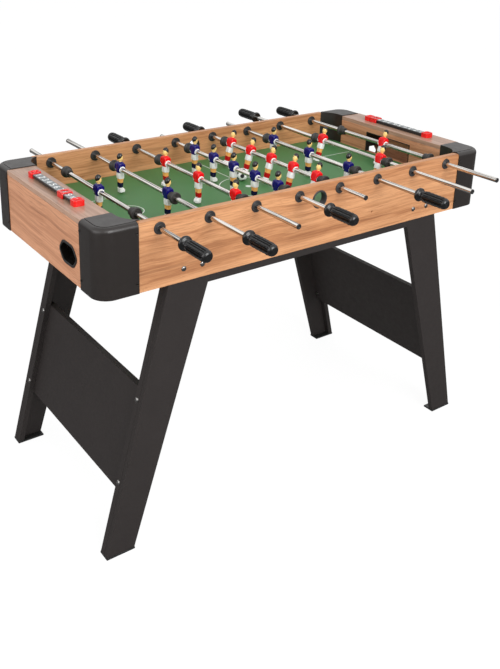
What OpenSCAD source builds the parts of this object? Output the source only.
// Four-foot foosball table: a laminated cabinet on four splayed legs, eight playing rods with
// twenty-two men, a scorer at each end, ball returns, serving holes and a ball.
// +X runs along the table towards the goal that the blue men attack, +Y away from the front side,
// +Z up. The origin is on the floor, midway between the four feet.

/* [Cabinet] */
// Length over the corner caps
table_len = 1210; // [1150:10:1300]
// Width over the corner caps
table_wid = 580; // [540:10:660]
// Height of the corner caps above the floor
top_z = 840; // [760:10:900]
// Height of the side panels
panel_h = 162; // [156:2:180]
// Thickness of the cabinet and leg boards
board_t = 15; // [12:1:16]
// Radius of the side panels' top corners, next to the caps
panel_r = 7; // [4:1:8]
// Step from the cap tops down to the panel tops
cap_lip = 2; // [1:0.5:3]
// Width of the flat deck at each end, which carries the scorer
deck_w = 75.5; // [72:0.5:90]
// Thickness of the deck boards
deck_t = 12; // [9:1:14]

/* [Corner caps] */
// Wall of the moulded corner caps
cap_t = 2.5; // [2:0.5:3]
// Reach of a cap along the side panel
cap_len_x = 98; // [92:1:110]
// Reach of a cap along the end panel
cap_len_y = 86; // [80:1:100]
// Radius of a cap's upright outer corner
cap_r = 40; // [30:1:45]
// Radius of the shoulder between a cap's sides and its top
shoulder_r = 12; // [8:1:13]
// Width of the groove between a cap's shoulder and its flat top
cap_groove_w = 1.5; // [1:0.5:2]
// Depth of that groove
cap_groove_d = 0.6; // [0.4:0.1:1]
// Step from a cap's flat top down to its shoulder
cap_step = 0.6; // [0.4:0.1:1]
// Radius of the playing field's rounded corner
field_corner_r = 56; // [50:1:66]
// Straight wall between a cap's edge and the rounded corner
field_corner_in = 18; // [14:1:24]
// Square section of the posts that join the panels inside the corners
post_w = 44; // [42:1:44]

/* [Playing field] */
// Depth of the playing surface below the panel tops
field_drop = 88.5; // [86:0.5:96]
// Thickness of the playing field board
field_t = 6; // [4:1:9]
// Width of the goal mouth
goal_w = 180; // [160:2:220]
// Height of the goal mouth
goal_h = 62.5; // [50:0.5:64]
// Wall of the goal's trim frame
goal_trim = 2.5; // [1.5:0.5:4]
// How far the goal's trim frame stands out of the goal wall
goal_trim_proud = 1; // [0.5:0.5:2]
// Height of the cleats and crossbars under the playing field
cleat_h = 18; // [14:1:20]
// Width of the cleats and crossbars under the playing field
cleat_w = 20; // [16:1:24]
// Distance of the pilot holes in the side panels from the table's middle
pilot_x = 185; // [170:1:200]
// Height of the pilot holes above the underside of the panels
pilot_up = 54; // [50:1:60]
// Diameter of the pilot holes
pilot_d = 5; // [3:0.5:6]
// Depth of the pilot holes
pilot_l = 10; // [6:1:12]
// Diameter of the ball
ball_d = 35; // [32:1:36]
// Place of the ball on the field
ball_at = [14, 51]; // [0:1:70]

/* [Ball return and serving] */
// Length of a ball return's opening
return_w = 84; // [70:1:90]
// Height of a ball return's opening
return_h = 43; // [40:1:46]
// Width of the collar round a ball return
return_rim = 6; // [4:0.5:8]
// Middle of a ball return from the table's middle line
return_y = 142; // [135:1:146]
// Middle of a ball return above the bottom of the panels
return_z = 62; // [60:1:66]
// Thickness of the chute floor
chute_t = 3; // [2:0.5:4]
// Fall of the chute from its far end to the ball return
chute_fall = 10; // [6:1:12]
// Clear diameter of the serving holes
serve_d = 37; // [36:0.5:38]
// Outside diameter of a serving cup's collar
serve_rim_d = 47; // [45:1:50]
// Middle of the serving holes below the panel tops
serve_drop = 40; // [38:1:44]

/* [Rods] */
// Distance of the goalkeepers' rods from the goal walls
keeper_in = 72; // [66:1:84]
// Depth of the rod axes below the panel tops
rod_drop = 21; // [20:0.5:24]
// Diameter of the rods
rod_d = 12; // [11:0.5:13]
// Wall of the rod tubes
rod_wall = 1.5; // [1:0.25:2]
// Radial clearance of a rod in its bushings
bush_gap = 0.08; // [0.04:0.01:0.1]
// Diameter of the bushing collars
bush_d = 29; // [27:1:31]
// Thickness of the bushing collars
bush_t = 3; // [2:0.5:4]
// Diameter of the bushing sleeves
sleeve_d = 19; // [17:0.5:21]
// Diameter of the rubber bumpers' wide end
bumper_d = 30; // [26:1:32]
// Length of the rubber bumpers
bumper_l = 24; // [20:1:26]
// Length of the bumpers' wide end
bumper_rim_l = 8; // [6:1:10]
// Spacing of the five men on a midfield rod
five_gap = 93.5; // [90:0.5:96]
// Spacing of the three men on an attack rod
three_gap = 160; // [152:1:166]
// Spacing of the two men on a defence rod
two_gap = 238; // [226:1:246]
// Distance of the goalkeeper rod's bumpers from the goalkeeper
keeper_gap = 161; // [140:1:170]
// Room that is left between a bumper and a bushing at the end of a rod's travel
stop_gap = 0.5; // [0.3:0.1:1]
// Bare rod that stays outside the cabinet at the end of its travel
bare_gap = 32; // [20:1:40]
// Space between handle and cabinet at the end of each rod's travel
grip_gap = [6, 35, 20, 38, 8, 44, 38, 28]; // [4:1:60]
// Rest place of each rod along its axis, measured from the middle
rest_slide = [-4, 10, -45, -17, -11, -19, -48, -50]; // [-60:1:60]
// Rest turn of each rod, in degrees, with the heads towards +X
rest_turn = [0, 0, 0, 0, 16, 0, 16, 16]; // [-30:1:30]

/* [Handles] */
// Length of a handle
grip_l = 92; // [85:1:110]
// Diameter of a handle's grip at its widest
grip_d = 29; // [27:1:33]
// Diameter of a handle's collar
collar_d = 34; // [30:1:37]
// Diameter of the plugs' flanges on the bare rod ends
tip_d = 12.6; // [12.5:0.1:14]
// Thickness of the plugs' flanges
tip_flange = 2.5; // [2:0.5:4]

/* [Men] */
// Height of a man's head above the rod axis
head_up = 42.5; // [38:0.5:44]
// Reach of a man's boots below the rod axis
boots_down = 63; // [58:0.5:64]
// Width of a man's shoulders and of the boss that holds the rod
man_w = 26; // [24:1:28]
// Diameter of the boss that holds the rod
boss_d = 19; // [18:0.5:21]

/* [Legs] */
// Width of a leg at the underside of the cabinet
leg_top_w = 111; // [95:1:120]
// Width of a leg at the floor
leg_foot_w = 74; // [65:1:90]
// How far the feet stand in from the ends of the table
foot_inset = 1; // [1:1:40]
// How far a leg leans outwards from the cabinet to the floor
leg_lean = 172; // [120:5:200]
// Depth of a leg, seen from the end of the table
leg_d = 32; // [30:1:44]
// How far the plates behind the leg tops reach below the cabinet
plate_drop = 30; // [20:5:60]
// How far the plates stand in from the legs' inner edges
plate_inset = 16; // [10:1:20]
// Thickness of the foot pads
pad_t = 5; // [3:1:10]
// Margin of the foot pads round the legs
pad_rim = 1; // [0.5:0.5:1]
// Height of the leg panels' lower edge above the floor
brace_low = 154; // [120:5:220]
// Height of the leg panels' upper edge above the floor
brace_high = 410; // [360:1:480]
// Drop of the rails below the cabinet, between the legs
rail_drop = 18; // [10:1:30]

/* [Fasteners] */
// Diameter of the bolts through the legs
bolt_d = 6; // [5:0.5:7]
// Diameter of the bolt heads
bolt_head_d = 13; // [11:0.5:15]
// Height of the bolt heads
bolt_head_h = 3.5; // [2.5:0.5:4.5]
// Distance of the two bolts at the top of each leg
bolt_pair = 50; // [40:1:56]
// Height of the leg bolts above the underside of the cabinet
bolt_up = 31; // [26:1:34]
// Distance of the upper leg panel bolts from the panel's upper edge
brace_bolt_top = 15; // [12:1:30]
// Distance of the lower leg panel bolts from the panel's lower edge
brace_bolt_low = 34; // [12:1:50]
// Width across the flats of the nuts
nut_w = 10; // [9:0.5:11]
// Height of the nuts
nut_h = 5; // [4:0.5:6]
// Diameter of the cap screws
screw_d = 3.5; // [3:0.25:4]
// Diameter of the cap screws' heads
screw_head_d = 5; // [4.5:0.5:7]
// Height of the cap screws' heads
screw_head_h = 2; // [1.5:0.5:2.5]
// Length of the cap screws under the head
screw_l = 14; // [10:1:15]
// Distance of the cap screws from the cap's upright edge
screw_in = 5; // [4:0.5:8]
// Distance of the cap screws from the cap's top and bottom
screw_end = 24; // [18:1:30]
// Play round the fasteners in their holes
hole_gap = 0.1; // [0.05:0.05:0.2]

/* [Scorers] */
// Length of a scorer over its end caps
score_l = 260; // [240:1:300]
// Length of a scorer's end caps
score_cap_l = 24; // [18:1:30]
// Width of a scorer's end caps and slider
score_w = 28; // [24:1:32]
// Height of a scorer's end caps and slider
score_h = 14; // [13:0.5:18]
// Width of the numbered bar
score_bar_w = 21; // [16:1:22]
// Height of the numbered bar
score_bar_h = 11; // [9:1:12]
// Length of a slider
slider_l = 27; // [22:1:34]
// Running gap round a slider
slider_gap = 0.4; // [0.3:0.1:0.6]
// Middle of a scorer from the end of the table
score_in = 40; // [30:1:44]
// Rest place of the left and the right slider
slider_rest = [-54, 92]; // [-92:0.5:92]

/* [Hidden] */
$fn = 48;
// Overlap of a cutting body past the face that it cuts
cut = 1;
// Larger than any piece
far = 3000;

// Outer and inner faces of the cabinet boards
half_len = table_len / 2;
half_wid = table_wid / 2;
end_x = half_len - cap_t;
end_in = end_x - board_t;
side_y = half_wid - cap_t;
side_in = side_y - board_t;
panel_top = top_z - cap_lip;
panel_low = panel_top - panel_h;
deck_low = panel_top - deck_t;

// Plan of the corners
cap_x = half_len - cap_len_x;
cap_y = half_wid - cap_len_y;
goal_x = end_x - deck_w;
goal_back = goal_x + board_t;
corner_y = cap_y + field_corner_in;
corner_rise = side_in - corner_y;
corner_x = goal_x - field_corner_r + sqrt(pow(field_corner_r, 2) - pow(corner_rise, 2));

// Heights inside the cabinet
rim_t = 2;
return_wall = 1.5;
serve_tube_d = serve_d + 3;
field_z = panel_top - field_drop;
field_low = field_z - field_t;
cleat_low = field_low - cleat_h;
leg_top_z = cleat_low - cut;
return_mid = panel_low + return_z;
chute_z = return_mid - return_h / 2;
goal_wall_low = chute_z - 2 * chute_t;
goal_top = field_z + goal_h;
// The goal cheeks stay above a ball that rolls along the chute
cheek_low = chute_z + chute_fall + ball_d + cut;

// Rods, from the left end to the right end. Each row: men, spacing, side of the handle, team
rod_z = panel_top - rod_drop;
rod_kind = [[1, keeper_gap, -1, 0], [2, two_gap, -1, 0], [3, three_gap, 1, 1], [5, five_gap, -1, 0],
    [5, five_gap, 1, 1], [3, three_gap, -1, 0], [2, two_gap, 1, 1], [1, keeper_gap, 1, 1]];
rods = len(rod_kind);
rod_pitch = 2 * (goal_x - keeper_in) / (rods - 1);
team_colour = ["navy", "red"];
bush_in = side_in - bush_t;
function men_count(k) = rod_kind[k][0];
function man_gap(k) = rod_kind[k][1];
function grip_side(k) = rod_kind[k][2];
function team(k) = rod_kind[k][3];
function rod_x(k) = (k - (rods - 1) / 2) * rod_pitch;
function man_y(k, i) = (i - (men_count(k) - 1) / 2) * man_gap(k);
// Inner face of a bumper, measured from the middle of its rod
function bumper_in(k) = men_count(k) == 1 ? keeper_gap
    : man_y(k, men_count(k) - 1) + man_w / 2 + man_bumper_gap;
function travel(k) = bush_in - bumper_in(k) - bumper_l - stop_gap;
function grip_y(k) = half_wid + travel(k) + grip_gap[k];
function bare_y(k) = half_wid + travel(k) + bare_gap;
man_bumper_gap = 0.3;
bumper_gap = 0.05;
bumper_body_d = bumper_d - 8;
grip_bore_l = grip_l - 14;
grip_neck_d = grip_d - 9;
pin_d = 3;
pin_gap = 0.05;
pin_half = boss_d / 2 - 1;
plug_gap = 0.05;
plug_l = 9;

// Legs: a leg's outer edge leans by this angle from the upright
lean = atan(leg_lean / panel_low);
foot_out = half_len - foot_inset;
leg_out = foot_out - leg_lean;
leg_in = leg_out - leg_top_w;
foot_in = foot_out - leg_foot_w;
leg_face = side_y;
leg_mid = leg_face - board_t;
leg_back = leg_face - leg_d;
plate_back = leg_mid - board_t;
function leg_out_at(z) = leg_out + leg_lean * (panel_low - z) / panel_low;
function leg_in_at(z) = leg_in + (foot_in - leg_in) * (panel_low - z) / panel_low;
bolt_z = panel_low + bolt_up;
bolt_mid = (leg_in_at(bolt_z) + leg_out_at(bolt_z)) / 2;
brace_bolt_y = (leg_mid + leg_back) / 2;
brace_bolt_z = [brace_low + brace_bolt_low, brace_high - brace_bolt_top];
cap_screw_z = [panel_low + screw_end, top_z - screw_end];

// Scorers
score_x = half_len - score_in;
bar_end = score_l / 2 - score_cap_l;
tee_step = 4;
tee_h = 4;

// A mirrored or turned copy for each side, end or corner
module each_side() {
    for (s = [1, -1]) scale_y(s) children();
}
module scale_y(s) {
    mirror([0, s < 0 ? 1 : 0, 0]) children();
}
module each_end() {
    for (s = [1, -1]) mirror([s < 0 ? 1 : 0, 0, 0]) children();
}
module each_corner() {
    each_side() each_end() children();
}
// The half-turned copy that a table with one goal for each team has at its other end
module each_goal() {
    for (a = [0, 180]) rotate([0, 0, a]) children();
}

// A block given by its lowest and highest corners
module block(low, high) {
    translate(low) cube(high - low);
}
// A round bar along Y from y0 to y1, through the origin's X and Z
module bar_y(d, y0, y1) {
    translate([0, y1, 0]) rotate([90, 0, 0]) cylinder(d = d, h = y1 - y0);
}
// A round bar along X from x0 to x1
module bar_x(d, x0, x1) {
    translate([x0, 0, 0]) rotate([0, 90, 0]) cylinder(d = d, h = x1 - x0);
}
// A plate of the outline in XZ, from y0 to y1
module plate_y(points, y0, y1) {
    translate([0, y1, 0]) rotate([90, 0, 0]) linear_extrude(height = y1 - y0) polygon(points);
}
// A plate of the outline in YZ, from x0 to x1
module plate_x(points, x0, x1) {
    translate([x0, 0, 0]) rotate([90, 0, 90]) linear_extrude(height = x1 - x0) polygon(points);
}

// ---- cabinet ----

module rod_holes() {
    for (k = [0 : rods - 1]) translate([rod_x(k), 0, rod_z])
        bar_y(sleeve_d + 2 * hole_gap, side_in - cut, side_y + cut);
}
module leg_bolt_holes(d, y0, y1) {
    each_end() for (s = [-1, 1]) translate([bolt_mid + s * bolt_pair / 2, 0, bolt_z])
        bar_y(d, y0, y1);
}
module side_screw_holes() {
    each_end() for (z = cap_screw_z) translate([cap_x + screw_in, 0, z])
        bar_y(screw_d + 2 * hole_gap, side_y - screw_l - hole_gap, half_wid + cut);
}
module end_screw_holes() {
    each_side() for (z = cap_screw_z) translate([0, cap_y + screw_in, z])
        bar_x(screw_d + 2 * hole_gap, end_x - screw_l - hole_gap, half_len + cut);
}
// A long side board. Its top steps down under the corner caps
module side_panel() {
    difference() {
        union() {
            block([-cap_x, side_in, panel_low], [cap_x, side_y, panel_top - panel_r]);
            block([panel_r - cap_x, side_in, panel_low], [cap_x - panel_r, side_y, panel_top]);
            each_end() translate([cap_x - panel_r, 0, panel_top - panel_r]) bar_y(2 * panel_r, side_in, side_y);
            each_end() block([cap_x - cut, side_in, panel_low], [half_len - cap_r, side_y, deck_low]);
        }
        rod_holes();
        leg_bolt_holes(bolt_d + 2 * hole_gap, side_in - cut, side_y + cut);
        side_screw_holes();
        translate([0, 0, panel_top - serve_drop])
            bar_y(serve_tube_d + 2 * hole_gap, side_in - cut, side_y + cut);
        each_end() translate([pilot_x, 0, panel_low + pilot_up]) bar_y(pilot_d, side_y - pilot_l, side_y + cut);
    }
}
module front_panel() {
    color("peru") scale_y(-1) side_panel();
}
module rear_panel() {
    color("peru") side_panel();
}
// Outline of a ball return: a long hexagon with level top and bottom edges
function return_outline(grow) = let (w = return_w / 2 + grow, h = return_h / 2 + grow, f = w * 0.54)
    [[-w, 0], [-f, -h], [f, -h], [w, 0], [f, h], [-f, h]];
module return_hole(grow, x0, x1) {
    translate([0, return_y, return_mid]) plate_x(return_outline(grow), x0, x1);
}
// An end board. It stands under the deck and between the corner caps
module end_panel() {
    difference() {
        block([end_in, cap_r - half_wid, panel_low], [end_x, half_wid - cap_r, deck_low]);
        return_hole(return_wall + hole_gap, end_in - cut, end_x + cut);
        end_screw_holes();
    }
}
module right_end_panel() {
    color("peru") end_panel();
}
module left_end_panel() {
    color("peru") rotate([0, 0, 180]) end_panel();
}
module end_decks() {
    color("tan") each_end() block([goal_x, -cap_y, deck_low], [end_x, cap_y, panel_top]);
}
module goal_walls() {
    color("peru") each_end() difference() {
        block([goal_x, -cap_y, goal_wall_low], [goal_back, cap_y, deck_low]);
        block([goal_x - cut, -goal_w / 2, field_z], [goal_back + cut, goal_w / 2, goal_top]);
    }
}
// Trim that lines the top and the sides of each goal mouth. Its cheeks reach back to the end board
module goal_frames() {
    goal_in = goal_w / 2 - goal_trim;
    color("black") each_end() {
        difference() {
            block([goal_x - goal_trim_proud, -goal_w / 2, field_z], [goal_back, goal_w / 2, goal_top]);
            block([goal_x - far, -goal_in, field_z - cut], [goal_back + cut, goal_in, goal_top - goal_trim]);
        }
        each_side() block([goal_back - cut, goal_in, cheek_low], [end_in, goal_w / 2, goal_top]);
    }
}
module playfield() {
    color("green") block([-goal_x, -side_in, field_low], [goal_x, side_in, field_z]);
}
// Two cleats along the side panels and three crossbars carry the playing field
module field_supports() {
    color("burlywood") {
        each_side() block([-cap_x, side_in - cleat_w, cleat_low], [cap_x, side_in, field_low]);
        for (x = [-2, 0, 2]) translate([x * rod_pitch, 0, 0])
            block([-cleat_w / 2, cleat_w + hole_gap - side_in, cleat_low],
                [cleat_w / 2, side_in - cleat_w - hole_gap, field_low]);
    }
}

// Half section of a cap's rim: its outer corner is the shoulder. A groove parts it from the flat top
module rim_section(r, round_r, low, high, step) {
    seam = r - round_r - cap_groove_w;
    difference() {
        union() {
            translate([0, low]) square([r, high - step - low - round_r]);
            translate([0, low]) square([r - round_r, high - step - low]);
            translate([0, low]) square([seam, high - low]);
            translate([r - round_r, high - step - round_r]) circle(r = round_r);
        }
        if (step > 0) translate([seam, high - step - cap_groove_d]) square([cap_groove_w, far]);
    }
}
// The corner block of a cap with its outer faces moved in by inset. It reaches inwards to x0 and y0,
// and its shoulder lies lower than its top by step
module cap_block(inset, x0, y0, low, high, step) {
    r = cap_r - inset;
    s = shoulder_r - inset;
    at_x = half_len - cap_r;
    at_y = half_wid - cap_r;
    translate([at_x, at_y, 0]) rotate_extrude(angle = 90) rim_section(r, s, low, high, step);
    translate([x0, at_y, 0]) rotate([90, 0, 90]) linear_extrude(height = at_x - x0)
        rim_section(r, s, low, high, step);
    translate([at_x, at_y, 0]) rotate([90, 0, 0]) linear_extrude(height = at_y - y0)
        rim_section(r, s, low, high, step);
    block([x0, y0, low], [at_x, at_y, high]);
}
// The playing field's corner, with its outline moved out by grow
module field_corner(grow, low, high) {
    at_x = goal_x - field_corner_r;
    block([0, 0, low], [goal_x + grow, corner_y, high]);
    intersection() {
        translate([at_x, corner_y, low]) cylinder(r = field_corner_r + grow, h = high - low, $fn = 96);
        block([0, 0, low], [far, side_in, high]);
    }
    block([0, 0, low], [at_x, side_in, high]);
}
// A moulded cap over one corner, hollow behind, with a rounded inner wall on the playing field
module corner_cap() {
    difference() {
        union() {
            cap_block(0, cap_x, cap_y, panel_low, top_z, cap_step);
            block([corner_x, corner_y, field_z], [cap_x + cut, side_in, top_z]);
        }
        field_corner(0, panel_low - cut, top_z + cut);
        difference() {
            cap_block(cap_t, cap_x - cut, cap_y - cut, panel_low - cut, top_z - cap_t, 0);
            field_corner(cap_t, field_z, top_z);
        }
        block([0, side_in, panel_low - cut], [half_len - cap_r, side_y, deck_low]);
        block([end_in, 0, panel_low - cut], [end_x, half_wid - cap_r, deck_low]);
        side_screw_holes();
        end_screw_holes();
    }
}
module corner_caps() {
    color("dimgray") each_corner() corner_cap();
}
module corner_posts() {
    color("burlywood") each_corner()
        block([end_in - post_w, side_in - post_w, panel_low], [end_in, side_in, deck_low]);
}

// ---- ball return and serving ----

// A collar through an end panel, with a rim that stands out of it
module ball_return_collars() {
    color("dimgray") each_goal() difference() {
        union() {
            return_hole(return_wall, end_in, end_x);
            return_hole(return_rim, end_x, end_x + rim_t);
        }
        return_hole(0, end_in - cut, end_x + rim_t + cut);
    }
}
// A sloping floor between goal wall and end panel, turned up at both ends
module ball_chutes() {
    chute_end = return_y + return_w / 2;
    chute_start = -goal_w / 2 - chute_t;
    chute_high = chute_z + chute_fall;
    wall_h = cleat_h + chute_t;
    color("dimgray") each_goal() plate_x([
        [chute_start, chute_high - chute_t], [chute_end + chute_t, chute_z - chute_t],
        [chute_end + chute_t, chute_z + wall_h], [chute_end, chute_z + wall_h], [chute_end, chute_z],
        [chute_start + chute_t, chute_high], [chute_start + chute_t, chute_high + wall_h],
        [chute_start, chute_high + wall_h]], goal_back, end_in);
}
// Sleeves with an outer collar, and the nuts that hold them from inside
module rod_bushings() {
    color("black") each_side() for (k = [0 : rods - 1]) translate([rod_x(k), 0, rod_z]) {
        difference() {
            union() {
                bar_y(sleeve_d, bush_in, side_y);
                bar_y(bush_d, side_y, side_y + bush_t);
            }
            bar_y(rod_d + 2 * bush_gap, bush_in - cut, side_y + bush_t + cut);
        }
        difference() {
            bar_y(bush_d, bush_in, side_in);
            bar_y(sleeve_d + 2 * hole_gap, bush_in - cut, side_in + cut);
        }
    }
}
module serving_cups() {
    color("black") each_side() translate([0, 0, panel_top - serve_drop]) difference() {
        union() {
            bar_y(serve_tube_d, side_in, side_y);
            bar_y(serve_rim_d, side_y, side_y + rim_t);
        }
        bar_y(serve_d, side_in - cut, side_y + rim_t + cut);
    }
}

// ---- legs ----

// Outline in XZ of a leg
function leg_outline(low, high) = [[leg_in_at(low), low], [leg_out_at(low), low],
    [leg_out_at(high), high], [leg_in_at(high), high]];
// Outline in XZ of the plate behind a leg's top
function plate_outline(low, high) = [[leg_in_at(low) + plate_inset, low],
    [leg_out_at(low) - (board_t + hole_gap) / cos(lean), low],
    [leg_out_at(high) - (board_t + hole_gap) / cos(lean), high], [leg_in_at(high) + plate_inset, high]];
// Wide leg boards stand flush under the side panels
module leg_boards() {
    color("dimgray") each_corner() plate_y(leg_outline(pad_t, panel_low), leg_mid, leg_face);
}
// Outline in XZ of a board that leans with the leg, from inner to outer distance behind its outer edge
function slope_outline(inner, outer, low, high) = [
    [leg_out_at(low) - inner / cos(lean), low], [leg_out_at(low) - outer / cos(lean), low],
    [leg_out_at(high) - outer / cos(lean), high], [leg_out_at(high) - inner / cos(lean), high]];
// Places children on a leg's outer face at a height, with +X square to that face
module on_slope(z) {
    translate([leg_out_at(z), 0, z]) rotate([0, -lean, 0]) children();
}
module brace_bolt_holes() {
    for (z = brace_bolt_z) on_slope(z) translate([0, brace_bolt_y, 0])
        bar_x(bolt_d + 2 * hole_gap, -2 * board_t - cut, cut);
}
// Narrow boards stiffen each leg's outer edge, and a plate behind each leg bolts it to its side panel
module leg_inner_boards() {
    color("dimgray") each_corner() {
        difference() {
            plate_y(slope_outline(board_t, 0, pad_t, leg_top_z), leg_back, leg_mid);
            brace_bolt_holes();
        }
        difference() {
            plate_y(plate_outline(panel_low - plate_drop, leg_top_z), plate_back, leg_mid);
            for (s = [-1, 1]) translate([bolt_mid + s * bolt_pair / 2, 0, bolt_z])
                bar_y(bolt_d + 2 * hole_gap, plate_back - cut, leg_mid + cut);
        }
    }
}
// A panel ties the two legs of each end together
module leg_panels() {
    color("dimgray") each_end() difference() {
        plate_y(slope_outline(2 * board_t, board_t, brace_low, brace_high), -leg_mid, leg_mid);
        each_side() brace_bolt_holes();
    }
}
// Rails run under the side panels, between the legs
module leg_rails() {
    rail_z = panel_low - rail_drop;
    color("dimgray") each_side() plate_y([[-leg_in_at(rail_z), rail_z], [leg_in_at(rail_z), rail_z],
        [leg_in, panel_low], [-leg_in, panel_low]], leg_mid, leg_face);
}
module foot_pads() {
    color("black") each_corner() block([leg_in_at(pad_t) - pad_rim, leg_back - pad_rim, 0],
        [leg_out_at(pad_t) + pad_rim, leg_face + pad_rim, pad_t]);
}

// ---- fasteners ----

// A domed bolt along X. Its head sits on the face at X = 0 and its shank runs towards -X
module bolt() {
    dome = [for (a = [0 : 10 : 90]) [bolt_head_d / 2 * cos(a), bolt_head_h * sin(a)]];
    rotate([0, 90, 0]) rotate_extrude() polygon(concat([[0, 0]], dome));
    bar_x(bolt_d, -2 * board_t - nut_h - 1, 0);
}
// A hexagon nut on the far side of both boards
module nut() {
    difference() {
        plate_x([for (a = [0 : 60 : 300]) nut_w / sqrt(3) * [cos(a), sin(a)]], -2 * board_t - nut_h, -2 * board_t);
        bar_x(bolt_d + 2 * hole_gap, -2 * board_t - nut_h - cut, cut);
    }
}
// Children at the two bolts through the top of each leg and the two through its leg panel
module each_frame_bolt() {
    each_corner() {
        for (s = [-1, 1]) translate([bolt_mid + s * bolt_pair / 2, side_y, bolt_z]) rotate([0, 0, 90]) children();
        for (z = brace_bolt_z) on_slope(z) translate([0, brace_bolt_y, 0]) children();
    }
}
module frame_bolts() {
    color("silver") each_frame_bolt() bolt();
}
module frame_nuts() {
    color("silver") each_frame_bolt() nut();
}
// A pan-headed screw along X, its head on the face at X = 0
module cap_screw() {
    bar_x(screw_head_d, 0, screw_head_h);
    bar_x(screw_d, -screw_l, 0);
}
module cap_screws() {
    color("silver") each_corner() for (z = cap_screw_z) {
        translate([cap_x + screw_in, half_wid, z]) rotate([0, 0, 90]) cap_screw();
        translate([half_len, cap_y + screw_in, z]) cap_screw();
    }
}

// ---- scorers ----

// Section in XZ of a T-shaped rail on the deck, made larger by grow
function tee(grow) = let (foot = score_bar_w / 2 - tee_step + grow, head = score_bar_w / 2 + grow)
    [[-foot, -grow], [foot, -grow], [foot, tee_h - grow], [head, tee_h - grow],
    [head, score_bar_h + grow], [-head, score_bar_h + grow], [-head, tee_h - grow], [-foot, tee_h - grow]];
module score_bars() {
    color("gray") each_end() translate([score_x, 0, panel_top]) plate_y(tee(0), -bar_end, bar_end);
}
module score_end_caps() {
    color("red") each_end() each_side() translate([score_x, 0, panel_top])
        block([-score_w / 2, bar_end, 0], [score_w / 2, bar_end + score_cap_l, score_h]);
}
// A saddle that clips round the head of the scorer's rail
module slider(y) {
    color("red") translate([0, y, panel_top]) difference() {
        block([-score_w / 2, -slider_l / 2, slider_gap], [score_w / 2, slider_l / 2, score_h]);
        plate_y(tee(slider_gap), -slider_l / 2 - cut, slider_l / 2 + cut);
    }
}
module left_score_slider() {
    translate([-score_x, 0, 0]) slider(slider_rest[0]);
}
module right_score_slider() {
    translate([score_x, 0, 0]) slider(slider_rest[1]);
}
module ball() {
    color("white") translate([ball_at[0], ball_at[1], field_z + ball_d / 2]) sphere(d = ball_d, $fn = 72);
}

// ---- rods ----

// Children in a rod's own frame: its axis along Y, with +Y towards its handle, at its rest place
module on_rod(k) {
    translate([rod_x(k), rest_slide[k], rod_z]) children();
}
module turned(k) {
    rotate([0, rest_turn[k], 0]) children();
}
module rod(k) {
    tube_end = grip_y(k) + grip_bore_l;
    color("silver") on_rod(k) turned(k) {
        difference() {
            scale_y(grip_side(k)) bar_y(rod_d, -bare_y(k), tube_end);
            scale_y(grip_side(k)) bar_y(rod_d - 2 * rod_wall, -bare_y(k) - cut, tube_end + cut);
            for (i = [0 : men_count(k) - 1]) translate([0, man_y(k, i), 0])
                bar_x(pin_d + 2 * pin_gap, -rod_d, rod_d);
        }
        for (i = [0 : men_count(k) - 1]) translate([0, man_y(k, i), 0]) bar_x(pin_d, -pin_half, pin_half);
    }
}
// Outline of a man from the side, facing +X, with 0 at the rod's axis
man_side = [[-7, 16], [-4.5, 19], [4.5, 19], [7, 16], [9.5, 12], [9.5, -10], [8.5, -13], [8.7, -24], [7, -27],
    [6, -37], [5, -boots_down + 11], [11, -boots_down + 6], [11.5, -boots_down], [-6.5, -boots_down],
    [-6.5, -boots_down + 9], [-7.5, -46], [-6.2, -37], [-7.2, -27], [-9, -24], [-8.8, -13], [-9.5, -10],
    [-9.5, 12]];
// Right half of a man's outline from the front
man_front = [[0, 20], [8, 20], [11.5, 17], [man_w / 2 - 0.5, 12], [man_w / 2 - 0.5, -8], [10, -13], [11, -20],
    [10.5, -31], [8.5, -36], [9.5, -46], [8, -boots_down + 9], [9.2, -boots_down + 4], [9, -boots_down],
    [0, -boots_down]];
module man() {
    head_r = 8.5;
    jaw_r = 7;
    difference() {
        union() {
            intersection() {
                plate_y(man_side, -man_w, man_w);
                plate_x(concat(man_front, [for (i = [len(man_front) - 1 : -1 : 1])
                    [-man_front[i][0], man_front[i][1]]]), -man_w, man_w);
            }
            bar_y(boss_d, -man_w / 2, man_w / 2);
            translate([0, 0, 17]) cylinder(r = 3.6, h = 8);
            translate([0, 0, head_up - head_r - jaw_r]) sphere(r = jaw_r);
            translate([0, 0, head_up - head_r]) sphere(r = head_r);
        }
        bar_y(rod_d, -man_w, man_w);
        bar_x(pin_d, -man_w, man_w);
    }
}
module men(k) {
    color(team_colour[team(k)]) on_rod(k) turned(k) for (i = [0 : men_count(k) - 1])
        translate([0, man_y(k, i), 0]) rotate([0, 0, 180 * team(k)]) man();
}
// A rubber bumper on each side of the men, its wide end towards the cabinet wall
module bumpers(k) {
    color("black") on_rod(k) each_side() translate([0, bumper_in(k), 0]) difference() {
        union() {
            bar_y(bumper_d, bumper_l - bumper_rim_l, bumper_l);
            bar_y(bumper_body_d, 0, bumper_l);
        }
        bar_y(rod_d + 2 * bumper_gap, -cut, bumper_l + cut);
    }
}
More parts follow.
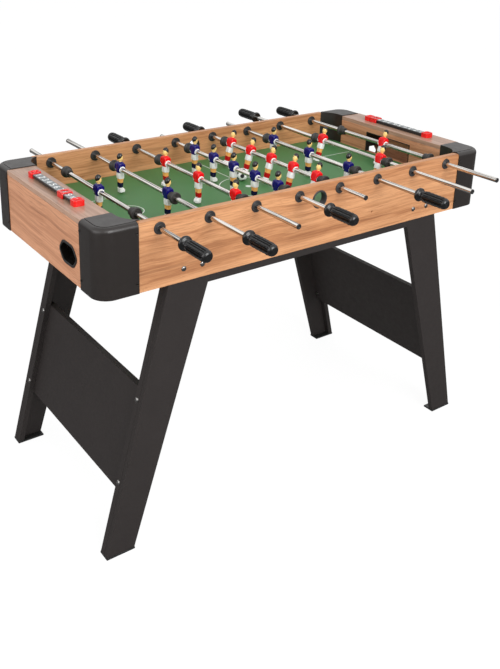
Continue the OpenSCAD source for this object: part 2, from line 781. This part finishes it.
// A fluted handle, and the plug in the rod's bare end
module handle(k) {
    flute_r = 4;
    color("black") on_rod(k) turned(k) scale_y(grip_side(k)) {
        difference() {
            translate([0, grip_y(k), 0]) rotate([-90, 0, 0]) rotate_extrude($fn = 64) polygon([
                [0, 0], [collar_d / 2 - 4, 0], [collar_d / 2 - 1, 1.5], [collar_d / 2, 5], [collar_d / 2 - 1, 9],
                [collar_d / 2 - 4, 12], [grip_neck_d / 2, 14.5], [grip_neck_d / 2, 18], [grip_d / 2 - 1.5, 23],
                [grip_d / 2, 30], [grip_d / 2, grip_l - 18], [grip_d / 2 - 1, grip_l - 10],
                [grip_d / 2 - 4, grip_l - 3.5], [grip_d / 2 - 9, grip_l], [0, grip_l]]);
            bar_y(rod_d, 0, grip_y(k) + grip_bore_l);
            for (a = [0 : 45 : 315]) rotate([0, a, 0]) translate([grip_d / 2 + flute_r * 0.6, 0, 0])
                bar_y(2 * flute_r, grip_y(k) + 27, grip_y(k) + grip_l - 12);
        }
        translate([0, -bare_y(k), 0]) {
            bar_y(tip_d, -tip_flange, 0);
            bar_y(rod_d - 2 * rod_wall - 2 * plug_gap, -cut, plug_l);
        }
    }
}

front_panel();
rear_panel();
left_end_panel();
right_end_panel();
end_decks();
goal_walls();
goal_frames();
playfield();
field_supports();
corner_caps();
corner_posts();
ball_return_collars();
ball_chutes();
serving_cups();
rod_bushings();
leg_boards();
leg_inner_boards();
leg_panels();
leg_rails();
foot_pads();
frame_bolts();
frame_nuts();
cap_screws();
score_bars();
score_end_caps();
left_score_slider();
right_score_slider();
ball();
rod(0);  // rod_1
rod(1);  // rod_2
rod(2);  // rod_3
rod(3);  // rod_4
rod(4);  // rod_5
rod(5);  // rod_6
rod(6);  // rod_7
rod(7);  // rod_8
men(0);  // men_1
men(1);  // men_2
men(2);  // men_3
men(3);  // men_4
men(4);  // men_5
men(5);  // men_6
men(6);  // men_7
men(7);  // men_8
bumpers(0);  // bumpers_1
bumpers(1);  // bumpers_2
bumpers(2);  // bumpers_3
bumpers(3);  // bumpers_4
bumpers(4);  // bumpers_5
bumpers(5);  // bumpers_6
bumpers(6);  // bumpers_7
bumpers(7);  // bumpers_8
handle(0);  // handle_1
handle(1);  // handle_2
handle(2);  // handle_3
handle(3);  // handle_4
handle(4);  // handle_5
handle(5);  // handle_6
handle(6);  // handle_7
handle(7);  // handle_8
